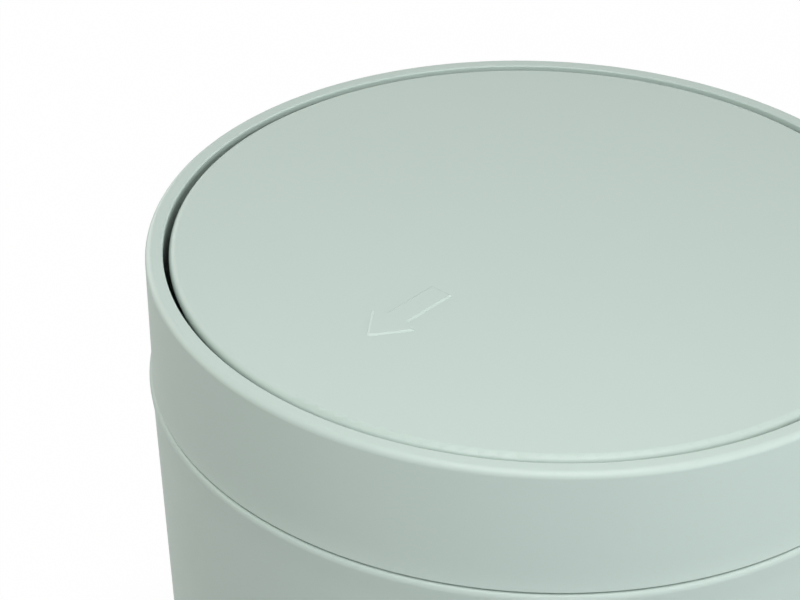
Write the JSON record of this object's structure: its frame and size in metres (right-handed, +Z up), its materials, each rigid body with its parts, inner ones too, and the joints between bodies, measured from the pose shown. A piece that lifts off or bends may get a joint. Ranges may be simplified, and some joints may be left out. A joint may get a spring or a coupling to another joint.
{
  "type": "swing-lid bin",
  "caption": "Round tapered bin with a lift-off collar and a flush round swing flap that is pushed at its arrow and closes by itself under a hidden counterweight.",
  "frame": {"origin": "floor under the middle of the bin: bottom centre of the bounding box", "axes": "+Z up; -Y is the front, the side that the flap's arrow points to and where it is pushed; the flap's pivot axis runs along X"},
  "size_m": [0.2498, 0.2498, 0.4004],
  "materials": {
    "sage_plastic": "satin moulded polypropylene, sage green",
    "inner_plastic": "plain moulded polypropylene, sage green",
    "zinc_screw": "bright zinc plating",
    "pin_steel": "ground steel pin",
    "weight_steel": "dark phosphate-coated mild steel",
    "soft_pad": "soft grey elastomer",
    "foot_rubber": "matt grey rubber"
  },
  "bodies": {
    "bin": {"bin_body": "sage_plastic", "foot_pad_front_left": "foot_rubber", "foot_pad_front_right": "foot_rubber", "foot_pad_back_left": "foot_rubber", "foot_pad_back_right": "foot_rubber"},
    "collar": {"collar": "sage_plastic", "pivot_ring": "inner_plastic", "bearing_cap_left": "inner_plastic", "bearing_cap_right": "inner_plastic", "bearing_cap_screws": "zinc_screw", "stop_pad_left": "soft_pad", "stop_pad_right": "soft_pad"},
    "flap": {"flap": "sage_plastic", "pivot_pin_left": "pin_steel", "pivot_pin_right": "pin_steel", "counterweight": "weight_steel", "counterweight_cover": "inner_plastic", "counterweight_screws": "zinc_screw"}
  },
  "joints": [
    {"name": "collar_lift", "type": "slide", "parent": "bin", "child": "collar", "axis": [0, 0, 1], "range_m": [0, 0.1]},
    {"name": "flap_swing", "type": "hinge", "parent": "collar", "child": "flap", "pos_m": [0, 0, 0.387], "axis": [1, 0, 0], "range_deg": [0, 75]}
  ]
}
